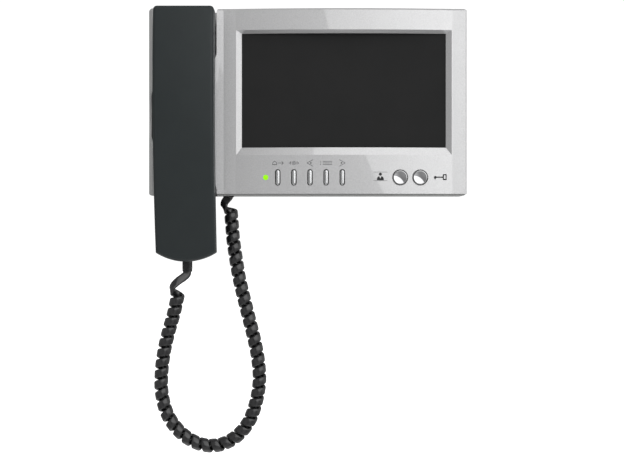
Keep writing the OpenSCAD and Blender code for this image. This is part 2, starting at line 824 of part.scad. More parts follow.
module cord_coil() color([0.1, 0.1, 0.1]) tube(coil_route, coil_d / 2, 12);
module cord_base_tail() color([0.1, 0.1, 0.1]) tube(base_tail, flat_w / 3, 8);
module cord_handset_tail() color([0.1, 0.1, 0.1]) tube(handset_tail, flat_w / 3, 8);

// ---- One line for each node ----

wall_bracket();
lock_screw();
rear_housing();
front_housing();
fascia();
display_window();
window_gasket();
lcd_panel();
lcd_frame();
display_ribbon();
main_board();
board_parts();
terminal_block();
terminal_screws();
key_board();
tact_switches();
status_led();
led_lens();
key_ring(round_x[0]);  // view_key_ring
key_ring(round_x[1]);  // door_key_ring
loudspeaker();
hook_switch();
housing_screws();
board_screws();
fascia_screws();
cradle_pads();
base_grommet();
cord_base_tail();
cord_coil();
cord_handset_tail();
slim_key(0);  // away_key
slim_key(1);  // record_key
slim_key(2);  // left_key
slim_key(3);  // menu_key
slim_key(4);  // right_key
round_key(round_x[0]);  // view_key
round_key(round_x[1]);  // door_key
hook_plunger();
handset_cover();
handset_back();
earpiece();
earpiece_felt();
microphone();
microphone_boot();
handset_weight();
handset_screw();
handset_grommet();
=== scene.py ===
"""Looks of a wall-mounted video intercom monitor with a corded handset.

Lengths are millimetres unless a comment says metres, and new_piece() turns them into
the frame's metres. The screen faces -Y and the wall is at y = 0.
"""

import math

import bmesh
import bpy
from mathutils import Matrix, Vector


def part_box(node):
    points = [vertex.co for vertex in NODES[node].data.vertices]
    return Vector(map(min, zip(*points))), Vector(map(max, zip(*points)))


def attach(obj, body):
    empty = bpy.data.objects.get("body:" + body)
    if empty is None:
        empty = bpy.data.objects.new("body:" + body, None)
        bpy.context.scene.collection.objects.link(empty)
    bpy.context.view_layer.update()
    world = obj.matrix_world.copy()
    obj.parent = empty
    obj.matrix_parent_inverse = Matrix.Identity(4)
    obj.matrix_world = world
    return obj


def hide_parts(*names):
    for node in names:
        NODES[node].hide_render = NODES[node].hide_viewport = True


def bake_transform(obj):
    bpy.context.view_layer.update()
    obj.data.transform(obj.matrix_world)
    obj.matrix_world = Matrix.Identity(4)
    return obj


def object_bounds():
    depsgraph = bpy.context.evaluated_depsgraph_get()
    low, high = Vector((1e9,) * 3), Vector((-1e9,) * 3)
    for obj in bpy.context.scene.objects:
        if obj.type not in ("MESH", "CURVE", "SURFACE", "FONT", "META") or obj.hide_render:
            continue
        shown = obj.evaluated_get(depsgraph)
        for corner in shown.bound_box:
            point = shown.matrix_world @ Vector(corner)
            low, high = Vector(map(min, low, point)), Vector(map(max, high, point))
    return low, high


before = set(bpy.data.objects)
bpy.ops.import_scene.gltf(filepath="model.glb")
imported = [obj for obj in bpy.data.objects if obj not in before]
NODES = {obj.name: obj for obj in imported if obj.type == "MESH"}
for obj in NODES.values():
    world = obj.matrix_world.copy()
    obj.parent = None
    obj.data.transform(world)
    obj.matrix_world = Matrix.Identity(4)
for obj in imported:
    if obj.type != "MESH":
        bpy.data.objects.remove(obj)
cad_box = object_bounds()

MM = 0.001


def mm_box(node):
    """Lowest and highest corners of a CAD node, in millimetres."""
    low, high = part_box(node)
    return Vector(low) / MM, Vector(high) / MM


def middle(node):
    low, high = mm_box(node)
    return (low + high) / 2


# ---------------------------------------------------------------- camera

EYE = Vector((0.0033, -1.034, -0.0965))  # metres
camera_data = bpy.data.cameras.new("camera")
camera_data.sensor_width = 36
camera_data.lens = 76.6
camera = bpy.data.objects.new("camera", camera_data)
camera.location = EYE
camera.rotation_euler = (math.radians(90), 0, 0)
bpy.context.collection.objects.link(camera)
bpy.context.scene.camera = camera
bpy.context.scene.view_settings.view_transform = "Standard"

# ---------------------------------------------------------------- sizes

fascia_low, fascia_high = mm_box("fascia")
window_low, window_high = mm_box("display_window")
FACE_Y = 34.6  # depth of the fascia's flat strips from the wall
BOW = 3.9  # how far the fascia bows out past them
BOW_X = (-54.1, 109.0)
BOW_MID = sum(BOW_X) / 2
BOW_R = (((BOW_X[1] - BOW_X[0]) / 2) ** 2 + BOW**2) / (2 * BOW)
WINDOW_LIP = 3.5  # how far the window reaches behind the opening's edge
SCREEN = (
    window_low.x + WINDOW_LIP,
    window_high.x - WINDOW_LIP,
    window_low.z + WINDOW_LIP,
    window_high.z - WINDOW_LIP,
)
# The screen's surround: how far it slopes outward on each side, and how deep it goes
SLOPE = {"side": 4.2, "top": 2.4, "bottom": 5.7, "deep": 3.0}


def face_at(x):
    """Depth of the fascia's surface from the wall at a place across."""
    if not BOW_X[0] < x < BOW_X[1]:
        return FACE_Y
    return FACE_Y + BOW - (BOW_R - math.sqrt(BOW_R**2 - (x - BOW_MID) ** 2))


def face_normal(x):
    if not BOW_X[0] < x < BOW_X[1]:
        return Vector((0, -1, 0))
    tilt = math.asin((x - BOW_MID) / BOW_R)
    return Vector((math.sin(tilt), -math.cos(tilt), 0))


# ---------------------------------------------------------------- materials


class Finish:
    """One Principled material, with helpers for the textures that drive it."""

    def __init__(self, name):
        self.material = bpy.data.materials.new(name)
        self.material.use_nodes = True
        self.tree = self.material.node_tree
        self.shader = self.tree.nodes["Principled BSDF"]
        self.place = self.tree.nodes.new("ShaderNodeTexCoord").outputs["Object"]

    def set(self, **values):
        for name, value in values.items():
            socket = self.shader.inputs[name.replace("_", " ")]
            if isinstance(value, tuple):
                value = (*value, 1.0)
            socket.default_value = value
        return self

    def add(self, kind, **inputs):
        node = self.tree.nodes.new(kind)
        for name, value in inputs.items():
            socket = node.inputs[name.replace("_", " ")]
            if isinstance(value, bpy.types.NodeSocket):
                self.tree.links.new(value, socket)
            else:
                socket.default_value = value
        return node

    def stretched(self, scale):
        return self.add("ShaderNodeMapping", Vector=self.place, Scale=scale).outputs["Vector"]

    def noise(self, scale, detail=2.0, place=None):
        """Noise of that many cells to the metre."""
        node = self.add(
            "ShaderNodeTexNoise", Vector=place or self.place, Scale=scale, Detail=detail
        )
        return node.outputs["Fac"]

    def ramp(self, value, low, high, out_low, out_high):
        node = self.add(
            "ShaderNodeMapRange",
            Value=value, From_Min=low, From_Max=high, To_Min=out_low, To_Max=out_high,
        )
        return node.outputs["Result"]

    def colours(self, value, *stops):
        """A colour ramp: stops are (place, (r, g, b))."""
        node = self.tree.nodes.new("ShaderNodeValToRGB")
        self.tree.links.new(value, node.inputs["Fac"])
        ramp = node.color_ramp
        while len(ramp.elements) < len(stops):
            ramp.elements.new(0.5)
        for element, (place, colour) in zip(ramp.elements, stops):
            element.position = place
            element.color = (*colour, 1.0)
        return node.outputs["Color"]

    def drive(self, socket, value):
        self.tree.links.new(value, self.shader.inputs[socket])
        return self

    def tint(self, value, colour, dark, light, span=(0.3, 0.7)):
        """The base colour wanders between two brightnesses of one colour."""
        stops = (span[0], shade(colour, dark)), (span[1], shade(colour, light))
        return self.drive("Base Color", self.colours(value, *stops))

    def gloss(self, value, low, high, span=(0.3, 0.7)):
        """The roughness wanders between two values."""
        return self.drive("Roughness", self.ramp(value, *span, low, high))

    def bump(self, height, strength, distance):
        node = self.add(
            "ShaderNodeBump", Height=height, Strength=strength, Distance=distance
        )
        return self.drive("Normal", node.outputs["Normal"])


def shade(colour, k):
    return tuple(min(1.0, c * k) for c in colour)


def moulded(name, colour, rough, pebble=900, spread=0.06, **more):
    """Moulded plastic: a fine pebble, faint mottling and small gloss changes."""
    f = Finish(name).set(**more)
    f.tint(f.noise(60, 3), colour, 1 - spread, 1 + spread)
    f.gloss(f.noise(260, 4), rough - 0.06, rough + 0.06)
    f.bump(f.noise(pebble, 2), 0.35, 0.00004)
    return f.material


def steel(name, colour, rough=0.35, along=(40, 2500, 2500)):
    """Plated sheet: streaks along the rolling direction and cloudy spangle."""
    f = Finish(name).set(Metallic=1.0)
    streak = f.noise(1, 4, place=f.stretched(along))
    f.tint(f.noise(90, 3), colour, 0.86, 1.08)
    f.gloss(streak, rough - 0.1, rough + 0.12)
    f.bump(streak, 0.15, 0.00002)
    return f.material


def lacquer(name, colour, flake):
    """Silver lacquer on plastic: metal flakes under a smooth clear coat."""
    f = Finish(name).set(
        Metallic=0.55, Coat_Weight=1.0, Coat_IOR=1.75, Coat_Roughness=0.02
    )
    cells = f.add("ShaderNodeTexVoronoi", Vector=f.place, Scale=3200.0)
    flakes = f.add("ShaderNodeMath")  # some of the cells' pattern, over a fine grain
    flakes.operation = "MULTIPLY_ADD"
    f.tree.links.new(cells.outputs["Distance"], flakes.inputs[0])
    flakes.inputs[1].default_value = 0.35
    f.tree.links.new(f.noise(1500, 3), flakes.inputs[2])
    f.tint(flakes.outputs[0], colour, 1 - flake, 1 + flake, span=(0.45, 0.95))
    f.gloss(f.noise(300, 3), 0.36, 0.42)
    f.bump(f.noise(700, 2), 0.05, 0.00002)
    return f.material


def plated(name, colour, rough):
    """Plating with a trace of handling haze."""
    f = Finish(name).set(Metallic=1.0)
    haze = f.noise(240, 4)
    f.tint(haze, colour, 0.97, 1.0)
    f.gloss(haze, rough, rough + 0.04, span=(0.35, 0.75))
    return f.material


def soft_black(name, colour, rough):
    """Flexible PVC, rubber or foam: a skin with a slight bloom."""
    f = Finish(name).set(Specular_IOR_Level=0.65)
    f.tint(f.noise(140, 4), colour, 0.8, 1.25, span=(0.3, 0.75))
    f.gloss(f.noise(500, 3), rough - 0.05, rough + 0.08)
    f.bump(f.noise(1600, 3), 0.3, 0.00003)
    return f.material


def board(name):
    """Solder mask over copper: tracks show as lighter lines."""
    f = Finish(name).set(Specular_IOR_Level=0.5)
    brick = f.add("ShaderNodeTexBrick", Vector=f.stretched((420, 420, 420)), Scale=1.0)
    brick.inputs["Color1"].default_value = (0.012, 0.10, 0.035, 1)
    brick.inputs["Color2"].default_value = (0.016, 0.13, 0.045, 1)
    brick.inputs["Mortar"].default_value = (0.03, 0.22, 0.08, 1)
    f.drive("Base Color", brick.outputs["Color"])
    f.gloss(f.noise(300, 3), 0.28, 0.42)
    f.bump(brick.outputs["Fac"], 0.3, 0.00003)
    return f.material


def film(name, colour, stripe):
    """Plastic film with lighter conductors in it."""
    f = Finish(name)
    wave = f.add("ShaderNodeTexWave", Vector=f.place, Scale=260.0)
    f.drive("Base Color", f.colours(wave.outputs["Fac"], (0.35, colour), (0.6, stripe)))
    f.gloss(f.noise(400), 0.25, 0.4)
    return f.material


def window_finish(name):
    """Smoked, anti-glare display window over a dark panel."""
    f = Finish(name).set(Specular_IOR_Level=0.03)
    smoke = (0.3, (0.0232, 0.0234, 0.0236)), (0.7, (0.0252, 0.0252, 0.0254))
    f.drive("Base Color", f.colours(f.noise(35, 3), *smoke))
    f.gloss(f.noise(2500, 2), 0.42, 0.5)
    f.bump(f.noise(4000, 1), 0.08, 0.00001)
    return f.material


def lit(name, colour, strength):
    """A lit lens: nearly all of its colour is its own light."""
    f = Finish(name).set(Emission_Strength=strength, Specular_IOR_Level=0.2)
    glow = f.noise(500, 2)
    f.tint(glow, colour, 0.04, 0.05)
    f.drive("Emission Color", f.colours(glow, (0.3, shade(colour, 0.92)), (0.7, colour)))
    f.gloss(glow, 0.12, 0.2)
    return f.material


MATERIALS = {
    "fascia": lacquer("silver_lacquer", (0.547, 0.547, 0.552), flake=0.1),
    # Painted shade: the housing uses the fascia's silver lacquer made darker, standing in for the
    # shade on its cradle, top edge and bottom band.
    "housing_silver": lacquer("silver_housing_shaded", (0.40, 0.405, 0.40), flake=0.04),
    "housing_rear": moulded("rear_plastic", (0.30, 0.305, 0.31), rough=0.55, pebble=1400),
    "handset": moulded(
        "handset_plastic", (0.022, 0.0275, 0.0285),
        rough=0.42, pebble=1700, spread=0.04, Specular_IOR_Level=0.25,
    ),
    "window": window_finish("smoked_window"),
    "foam": soft_black("gasket_foam", (0.02, 0.02, 0.02), rough=0.8),
    "lcd": moulded("panel_black", (0.02, 0.02, 0.022), rough=0.3),
    "steel": steel("zinc_plate", (0.62, 0.63, 0.65)),
    "screw": steel("screw_zinc", (0.6, 0.6, 0.6), rough=0.3, along=(2500, 300, 2500)),
    "film": film("film_cable", (0.45, 0.24, 0.06), (0.6, 0.35, 0.12)),
    "board": board("solder_mask"),
    "parts": moulded("component_black", (0.02, 0.02, 0.02), rough=0.4),
    "terminals": moulded("terminal_green", (0.03, 0.24, 0.09), rough=0.4),
    "speaker": soft_black("speaker_cone", (0.03, 0.03, 0.03), rough=0.7),
    "rubber": soft_black("pad_rubber", (0.018, 0.018, 0.018), rough=0.7),
    "cord": soft_black("cord_pvc", (0.0115, 0.0115, 0.0125), rough=0.19),
    "satin": plated("key_satin", (0.56, 0.565, 0.57), rough=0.25),
    "dish": plated("key_dish", (0.56, 0.56, 0.57), rough=0.015),
    "rim": moulded("key_rim", (0.11, 0.11, 0.11), rough=0.3, Metallic=0.6),
    "plunger": moulded("plunger_white", (0.7, 0.7, 0.68), rough=0.35),
    "iron": steel("ballast_iron", (0.2, 0.2, 0.2), rough=0.6),
    "lamp": lit("green_lens", (0.36, 0.97, 0.006), strength=1.0),
    "ink": moulded(
        "printed_ink", (0.02, 0.02, 0.022), rough=0.5, spread=0.03, Specular_IOR_Level=0.3
    ),
    "pale_ink": moulded("printed_grey", (0.10, 0.10, 0.104), rough=0.5, spread=0.03),
}

NODE_FINISH = {
    "wall_bracket": "steel",
    "lock_screw": "screw",
    "rear_housing": "housing_rear",
    # the front housing gets the darker silver copy, which is painted shade
    "front_housing": "housing_silver",
    "display_window": "window",
    "window_gasket": "foam",
    "lcd_panel": "lcd",
    "lcd_frame": "steel",
    "display_ribbon": "film",
    "main_board": "board",
    "board_parts": "parts",
    "terminal_block": "terminals",
    "terminal_screws": "screw",
    "key_board": "board",
    "tact_switches": "parts",
    "status_led": "lamp",
    "loudspeaker": "speaker",
    "hook_switch": "parts",
    "housing_screws": "screw",
    "board_screws": "screw",
    "fascia_screws": "screw",
    "cradle_pads": "rubber",
    "base_grommet": "cord",
    "hook_plunger": "plunger",
    "earpiece": "speaker",
    "earpiece_felt": "foam",
    "microphone": "steel",
    "microphone_boot": "rubber",
    "handset_weight": "iron",
    "handset_screw": "screw",
}

# ---------------------------------------------------------------- mesh helpers


def new_piece(name, points, faces, body, finish, slot, sharp=35):
    """A piece from millimetre points. Edges steeper than sharp degrees stay crisp."""
    mesh = bpy.data.meshes.new(name)
    mesh.from_pydata([Vector(p) * MM for p in points], [], faces)
    mesh.validate()
    b = bmesh.new()
    b.from_mesh(mesh)
    bmesh.ops.remove_doubles(b, verts=b.verts, dist=1e-7)
    bmesh.ops.recalc_face_normals(b, faces=b.faces)
    b.to_mesh(mesh)
    b.free()
    mesh.materials.append(MATERIALS[finish])
    mesh.shade_smooth()
    mesh.set_sharp_from_angle(angle=math.radians(sharp))
    piece = bpy.data.objects.new(name, mesh)
    bpy.context.collection.objects.link(piece)
    if body:
        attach(piece, body)
    return piece


def loft(rings, close_first=True, close_last=True):
    """Points and faces of a skin over rings that all have the same number of points."""
    n = len(rings[0])
    points = [p for ring in rings for p in ring]
    faces = [
        (k * n + j, k * n + (j + 1) % n, (k + 1) * n + (j + 1) % n, (k + 1) * n + j)
        for k in range(len(rings) - 1)
        for j in range(n)
    ]
    if close_first:
        faces.append(tuple(range(n)))
    if close_last:
        faces.append(tuple((len(rings) - 1) * n + j for j in range(n)))
    return points, faces


def soften(piece, width, segments, angle):
    """Rounds a piece's edges steeper than angle degrees by width millimetres."""
    bevel = piece.modifiers.new("soft_edges", "BEVEL")
    bevel.width = width * MM
    bevel.segments = segments
    bevel.limit_method = "ANGLE"
    bevel.angle_limit = math.radians(angle)
    bevel.use_clamp_overlap = True
    bevel.harden_normals = False
    return piece


def even_normals(piece):
    """Keeps wide faces flat, so that only the rounded edges between them turn."""
    weighted = piece.modifiers.new("even_normals", "WEIGHTED_NORMAL")
    weighted.weight = 100
    weighted.keep_sharp = True
    return piece


def combine(operation, piece, *others):
    """Joins, cuts or intersects piece with each of the others, then drops them."""
    for other in others:
        boolean = piece.modifiers.new("combine", "BOOLEAN")
        boolean.operation = operation
        boolean.solver = "EXACT"
        boolean.object = other
    apply_modifiers(piece)
    for other in others:
        bpy.data.objects.remove(other)
    return piece


def apply_modifiers(piece):
    graph = bpy.context.evaluated_depsgraph_get()
    mesh = bpy.data.meshes.new_from_object(piece.evaluated_get(graph))
    piece.modifiers.clear()
    piece.data = mesh
    return piece


def prism_y(outline, depths):
    """A prism through an X-Z outline, between two depths from the wall."""
    return loft([[(x, -d, z) for x, z in outline] for d in depths])


def arc(centre, r, start, stop, steps):
    """Points on an arc in a plane, from start to stop degrees."""
    return [
        (
            centre[0] + r * math.cos(math.radians(start + (stop - start) * i / steps)),
            centre[1] + r * math.sin(math.radians(start + (stop - start) * i / steps)),
        )
        for i in range(steps + 1)
    ]


def slot_outline(centre, w, length, steps=12):
    """An upright slot with round ends."""
    half = (length - w) / 2
    return arc((centre[0], centre[1] + half), w / 2, 0, 180, steps) + arc(
        (centre[0], centre[1] - half), w / 2, 180, 360, steps
    )


def circle(centre, r, steps=48):
    return arc(centre, r, 0, 360, steps)[:-1]


def revolve_y(centre, profile, steps=64):
    """A skin round an axis along Y. The profile's points are (radius, depth)."""
    return loft(
        [[(x, -d, z) for x, z in circle(centre, max(r, 0.001), steps)] for r, d in profile]
    )


# ---------------------------------------------------------------- fascia

KEY_Z = middle("away_key").z
SLIM_KEYS = ["away_key", "record_key", "left_key", "menu_key", "right_key"]
ROUND_KEYS = ["view_key", "door_key"]
SLIM_W, SLIM_L, SLIM_GAP = 3.2, 11.4, 0.45
ROUND_R, RING_T = 5.2, 0.6
RING_HOLE_R = ROUND_R + 0.2 + RING_T
LAMP_HOLE_R = 2.0
LAMP_X = middle("led_lens").x
BACK_Y = 26.0  # depth of the fascia's rear edge from the wall
WALL = 2.2
TOP_EDGE = 1.2  # chamfer along the fascia's top
CUT = (20, 50)  # depths between which the holes are cut
RAMP_X, SHELL_X = fascia_low.x, -68.5  # left edges of the ramp and of the fascia's box
RAMP_END_X = -66.4  # where the ramp runs into the box
STRIP_END_X = -63.3  # where the tilted strip at the left ends


def fascia_section(inset):
    """The fascia from above, drawn in by inset, as (x, depth) points."""
    left, right = SHELL_X + inset, fascia_high.x - inset
    steps = 96
    bow = [
        BOW_X[0] + (BOW_X[1] - BOW_X[0]) * i / steps
        for i in range(steps + 1)
        if left < BOW_X[0] + (BOW_X[1] - BOW_X[0]) * i / steps < right
    ]
    return (
        [(left, BACK_Y), (left, FACE_Y - 0.25 - inset), (STRIP_END_X, FACE_Y - 0.45 - inset)]
        + [(x, face_at(x) - inset) for x in bow]
        + [(right - 1, FACE_Y - 0.2 - inset), (right, FACE_Y - 1 - inset), (right, BACK_Y)]
    )


def cutter(name, points, faces):
    """A body that goes into the fascia, or is cut out of it."""
    return new_piece(name, points, faces, None, "fascia", None)


def slab(name, *levels):
    """A skin along Z over X-depth sections, each given as (section, z)."""
    return cutter(name, *loft([[(x, -d, z) for x, d in section] for section, z in levels]))


def surround_cutter():
    """The sloped surround of the screen. It follows the bow, and is deep past the window."""
    x0, x1, z0, z1 = SCREEN
    rings = []
    steps = 64
    for i in range(steps + 1):
        t = i / steps
        side = 2 * t - 1
        x_in = x0 + t * (x1 - x0)
        depth = face_at(x_in + side * SLOPE["side"])

        def corner(out, top):
            grow = 1 + out / SLOPE["deep"]
            x = x_in + side * SLOPE["side"] * grow
            z = z1 + SLOPE["top"] * grow if top else z0 - SLOPE["bottom"] * grow
            return (x, -depth - out, z)

        above, below = 1, -3.3  # how far the cutter stands out of the face, and goes in
        rings.append(
            [corner(above, False), corner(above, True), corner(below, True), corner(below, False)]
        )
    return cutter("cut_surround", *loft(rings))


def flat_face_normals(piece):
    """Gives the bow its exact normals and the strips flat ones, so that reflections run true."""
    mesh = piece.data
    normals = [Vector(n.vector) for n in mesh.corner_normals]
    near, hair = 0.1, 0.01  # how close to the bow a face lies, and how close to its ends
    for face in mesh.polygons:
        x = face.center.x / MM
        on_bow = BOW_X[0] < x < BOW_X[1]
        on_face = abs(face.center.y / MM + face_at(x)) < near
        if on_face and on_bow and face.normal.dot(face_normal(x)) > 0.9995:
            for loop in face.loop_indices:
                at = mesh.vertices[mesh.loops[loop].vertex_index].co.x / MM
                at = min(max(at, BOW_X[0] + hair), BOW_X[1] - hair)
                normals[loop] = face_normal(at)
        elif face.normal.y < -0.98 and not on_bow:
            for loop in face.loop_indices:
                normals[loop] = face.normal.copy()
    mesh.normals_split_custom_set([tuple(n) for n in normals])


fascia = slab(
    "fascia_shell",
    (fascia_section(0), fascia_low.z),
    (fascia_section(0), fascia_high.z - TOP_EDGE),
    (fascia_section(TOP_EDGE), fascia_high.z),
)
hollow = fascia_section(WALL)
hollow = [(hollow[0][0], BACK_Y - 1), *hollow[1:-1], (hollow[-1][0], BACK_Y - 1)]
cavity = slab("cut_cavity", (hollow, fascia_low.z + WALL), (hollow, fascia_high.z - WALL))
x0, x1, z0, z1 = SCREEN
opening = cutter("cut_opening", *prism_y([(x0, z0), (x1, z0), (x1, z1), (x0, z1)], CUT))
slot_w, slot_l = SLIM_W + 2 * SLIM_GAP, SLIM_L + 2 * SLIM_GAP
holes = [
    cutter("cut_slot", *prism_y(slot_outline((middle(key).x, KEY_Z), slot_w, slot_l), CUT))
    for key in SLIM_KEYS
]
holes += [
    cutter("cut_round", *prism_y(circle((middle(key).x, KEY_Z), RING_HOLE_R, 64), CUT))
    for key in ROUND_KEYS
]
holes.append(cutter("cut_lamp", *prism_y(circle((LAMP_X, KEY_Z), LAMP_HOLE_R), CUT)))
# Thicker ground for the sloped surround, and the ramp beside the middle of the handset
PAD = 8.0  # how far it reaches past the opening
pad_x = [x0 - PAD + (x1 - x0 + 2 * PAD) * i / 48 for i in range(49)]
pad_section = [(pad_x[0], 31.0), *((x, face_at(x) - 0.5) for x in pad_x), (pad_x[-1], 31.0)]
pad = slab("pad", (pad_section, z0 - PAD), (pad_section, z1 + PAD))
ramp_section = [
    (-75, BACK_Y), (RAMP_X, FACE_Y - 0.1), (SHELL_X, FACE_Y - 0.24),
    (RAMP_END_X, FACE_Y - 0.33), (RAMP_END_X, BACK_Y),
]
ramp = slab("ramp", (ramp_section, -70), (ramp_section, 70))
ramp_outline = [
    (-67, 38), (SHELL_X, 36), (RAMP_X, 27.5), (RAMP_X, -50), (-70.8, -55), (SHELL_X, -66),
    (-67, -68),
]
combine("INTERSECT", ramp, cutter("ramp_side", *prism_y(ramp_outline, (20, 45))))
combine("DIFFERENCE", fascia, cavity)
combine("UNION", fascia, pad, ramp)
combine("DIFFERENCE", fascia, surround_cutter(), opening, *holes)
soften(fascia, 0.35, 2, 20)
apply_modifiers(fascia)
fascia.data.shade_smooth()
fascia.data.set_sharp_from_angle(angle=math.radians(50))
apply_modifiers(even_normals(fascia))
flat_face_normals(fascia)
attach(fascia, "monitor")
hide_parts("fascia")

# ---------------------------------------------------------------- keys and lamp


def slim_key(name):
    """A satin bar with a rounded face and round ends."""
    low, high = mm_box(name)
    x, front = (low.x + high.x) / 2, -low.y
    deep, rise = 4, 1.1  # from the face to the rear end, and to where the rounding starts
    r = SLIM_W / 2
    rings = [[(px, -(front - deep), pz) for px, pz in slot_outline((x, KEY_Z), SLIM_W, SLIM_L)]]
    steps = 7
    for i in range(steps + 1):
        a = math.radians(86 * i / steps)
        inset = r * (1 - math.cos(a))
        depth = front - rise + rise * math.sin(a)
        rings.append(
            [
                (px, -depth, pz)
                for px, pz in slot_outline((x, KEY_Z), SLIM_W - 2 * inset, SLIM_L - 2 * inset)
            ]
        )
    piece = new_piece("bar_" + name, *loft(rings), name, "satin", "key_chrome", sharp=50)
    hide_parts(name)


def round_key(name, ring):
    """A mirror-bright dish in a thin rim."""
    low, high = mm_box(name)
    centre, front = ((low.x + high.x) / 2, KEY_Z), -low.y
    dish_r, edge_r = 40.0, 0.35
    rim = ROUND_R - edge_r
    profile = [(ROUND_R - 0.2, front - 5), (ROUND_R, front - 4.8), (ROUND_R, front - edge_r)]
    profile += [(rim + p[0], front - edge_r + p[1]) for p in arc((0, 0), edge_r, 0, 90, 4)][1:]
    steps = 14
    for i in range(1, steps + 1):
        r = rim * (1 - i / steps)
        sag = math.sqrt(dish_r**2 - r**2) - math.sqrt(dish_r**2 - rim**2)
        profile.append((r, front - sag))
    piece = new_piece(
        "dish_" + name, *revolve_y(centre, profile), name, "dish", "key_chrome", sharp=60
    )
    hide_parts(name)
    low, high = mm_box(ring)
    outer, front = (high.x - low.x) / 2, -low.y
    inner = ROUND_R + 0.15
    bead = (outer - inner) / 2
    profile = [(inner, front - 4), (outer, front - 4), (outer, front - bead)]
    turn = arc((inner + bead, front - bead), bead, 0, 180, 8)
    points, faces = revolve_y(centre, profile + turn[1:])
    piece = new_piece("rim_" + name, points, faces, "monitor", "rim", "ring_grey", sharp=60)
    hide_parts(ring)


for key in SLIM_KEYS:
    slim_key(key)
for key, ring in zip(ROUND_KEYS, ["view_key_ring", "door_key_ring"]):
    round_key(key, ring)

front = -mm_box("led_lens")[0].y
FLANGE_R, LENS_R, DOME = 2.8, 1.95, 0.5
dome = [
    (FLANGE_R, front - 5), (FLANGE_R, front - 4), (LENS_R, front - 4), (LENS_R, front - DOME),
]
for degrees in range(15, 91, 15):
    a = math.radians(degrees)
    dome.append((LENS_R * math.cos(a), front - DOME + DOME * math.sin(a)))
lens = new_piece(
    "lamp_lens", *revolve_y((LAMP_X, KEY_Z), dome), "monitor", "lamp", "led_lens", sharp=50
)
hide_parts("led_lens")

# ---------------------------------------------------------------- handset

cover_low, cover_high = mm_box("handset_cover")
GRIP_X = (cover_low.x + cover_high.x) / 2
GRIP_W = (cover_high.x - cover_low.x) / 2  # half of its width
GRIP_R = 400.0  # the long front curve
GRIP_TOP, GRIP_END = cover_high.z, cover_low.z
GRIP_MID_Z = 13.3  # height at which the handset stands furthest out
GRIP_FRONT = -cover_low.y
END_R = 40.5  # the rounded lower end
TOP_R, LOW_R = 3.0, 1.0  # corners at the top and at the lower end
SPLIT = 9.0  # depth of the front shell


def half_outline(inset):
    """The right half of the handset's outline, from the top down to the tip."""
    w = GRIP_W - inset
    top = GRIP_TOP - inset
    r_top, r_low = max(TOP_R - inset, 0.15), max(LOW_R - inset, 0.15)
    arc_z = GRIP_END + END_R
    arc_r = END_R - inset
    low_z = arc_z - math.sqrt((arc_r - r_low) ** 2 - (w - r_low) ** 2)
    swing = math.degrees(math.atan2(arc_z - low_z, w - r_low))
    points = arc((w - r_top, top - r_top), r_top, 90, 0, 8)
    sides = 44
    start, stop = top - r_top, low_z
    points += [(w, start + (stop - start) * i / sides) for i in range(1, sides)]
    points += arc((w - r_low, low_z), r_low, 0, -swing, 5)
    points += arc((0, arc_z), arc_r, -swing, -90, 12)[1:]
    return points


def grip_depth(z, back=0.0):
    """Depth of the handset's long curve from the wall, or of a surface behind it."""
    return GRIP_FRONT - GRIP_R + math.sqrt((GRIP_R - back) ** 2 - (z - GRIP_MID_Z) ** 2)


def shell_ring(inset, back):
    half = half_outline(inset)
    loop = half + [(-x, z) for x, z in reversed(half[:-1])]
    return [(GRIP_X + x, -grip_depth(z, back), z) for x, z in loop]


def shell(rings):
    """A closed skin over the rings. Strips from side to side close both ends."""
    points, faces = loft(rings, close_first=False, close_last=False)
    n = len(rings[0])
    for base in (0, (len(rings) - 1) * n):
        for i in range((n - 1) // 2):
            a, b = base + i, base + i + 1
            c, d = base + n - 2 - i, base + n - 1 - i
            faces.append((a, b, c, d) if b != c else (a, b, d))
    return points, faces


def rounded(r, steps=6):
    """(inset, rise) steps round an edge of radius r, from the side wall to the face."""
    turns = [math.radians(90 * i / steps) for i in range(steps + 1)]
    return [(r * (1 - math.cos(a)), r * (1 - math.sin(a))) for a in turns]


GAP = 0.3  # half of the groove along the parting line
cover_rings = [shell_ring(1.2, SPLIT), shell_ring(0.3, SPLIT), shell_ring(0.0, SPLIT - GAP)]
cover_rings += [shell_ring(i, b) for i, b in rounded(2.4)]
cover = new_piece(
    "handset_front", *shell(cover_rings), "handset", "handset", "handset_dark", sharp=45
)
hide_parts("handset_cover")

# The back: a grip with rounded edges, an earpiece cup above and a microphone cup below
GRIP_T = 19.0  # depth of the grip, front to back
CUP_Y = -mm_box("handset_back")[1].y  # rear face of the cups
CUP_HW = 20.5  # half of their width
CUP_SLOPE = math.tan(math.radians(15))
EAR_LOW = 33.5 + (CUP_Y - 13) * CUP_SLOPE
EAR_Z = middle("earpiece").z
MIC_Z = middle("microphone").z
SCREW_Z = middle("handset_screw").z


def inner_piece(name, points, faces):
    return new_piece(name, points, faces, None, "handset", None)


def cup(side_outline, z, r):
    """A cup from its side outline in (depth, z) and its rounded plan."""
    plan = []
    for cx, cz, start in (
        (CUP_HW - r, z[1] - r, 0), (r - CUP_HW, z[1] - r, 90),
        (r - CUP_HW, z[0] + r, 180), (CUP_HW - r, z[0] + r, 270),
    ):
        plan += [(GRIP_X + x, h) for x, h in arc((cx, cz), r, start, start + 90, 8)]
    wide, deep = (-30, 30), (5, 56)  # past the cup on every side
    block = inner_piece(
        "cup", *loft([[(GRIP_X + x, -d, h) for d, h in side_outline] for x in wide])
    )
    combine("INTERSECT", block, inner_piece("cup_plan", *prism_y(plan, deep)))
    soften(block, 1.6, 3, 25)
    return apply_modifiers(block)


